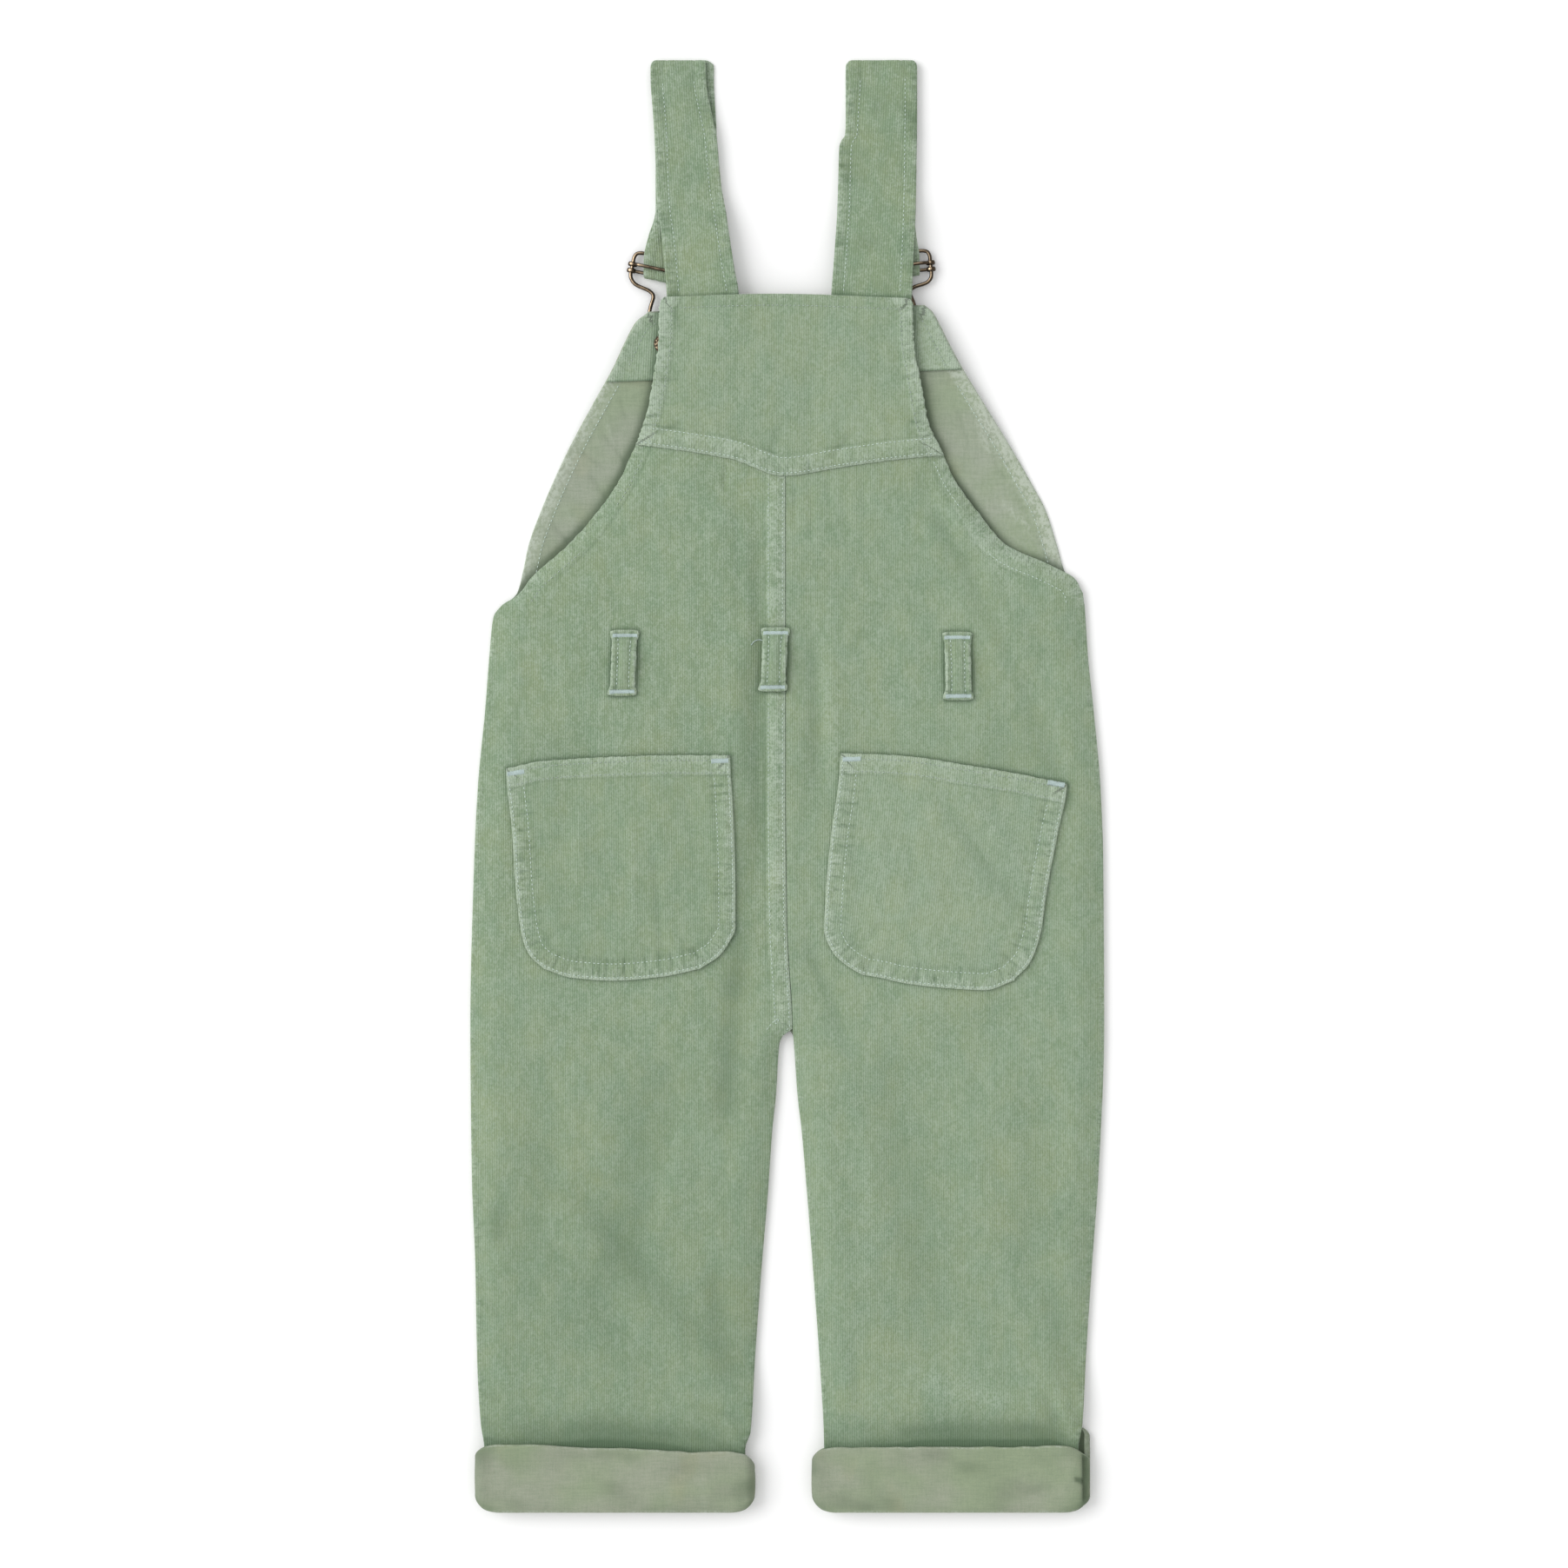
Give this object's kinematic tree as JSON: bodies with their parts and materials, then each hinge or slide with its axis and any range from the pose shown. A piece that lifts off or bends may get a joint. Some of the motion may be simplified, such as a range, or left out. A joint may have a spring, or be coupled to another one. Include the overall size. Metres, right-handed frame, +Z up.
{
  "type": "toddler overalls",
  "caption": "Corduroy toddler overalls laid flat on their front: back yoke, patch pockets, belt loops, rolled cuffs, and folded shoulder straps with wire buckles hooked on bib buttons.",
  "frame": {"origin": "Middle of the underside: the bottom centre of the bounding box, on the surface the garment lies on", "axes": "+X to the right as seen from above, +Y from the cuffs to the shoulder folds, +Z up from the surface, out of the garment's back"},
  "size_m": [0.332, 0.7599, 0.0119],
  "materials": {
    "corduroy": "fine-wale sage corduroy, washed, with paler worn edges",
    "wrong_side": "flat grey-green wrong side of the corduroy",
    "brass": "antique brass, dark in the hollows and worn bright on top",
    "thread": "pale green topstitching thread"
  },
  "bodies": {
    "root": {"front_left": "corduroy", "front_right": "corduroy", "back_left": "corduroy", "back_right": "corduroy", "pocket_left": "corduroy", "pocket_right": "corduroy", "strap_left": "corduroy", "strap_right": "corduroy", "front_facing": "corduroy", "back_yoke": "corduroy", "belt_loop_left": "corduroy", "belt_loop_centre": "corduroy", "belt_loop_right": "corduroy", "front_bib": "wrong_side", "cuff_left": "wrong_side", "cuff_right": "wrong_side", "hook_left": "brass", "bar_lower_left": "brass", "bar_upper_left": "brass", "button_left": "brass", "hook_right": "brass", "bar_lower_right": "brass", "bar_upper_right": "brass", "button_right": "brass"}
  },
  "joints": []
}
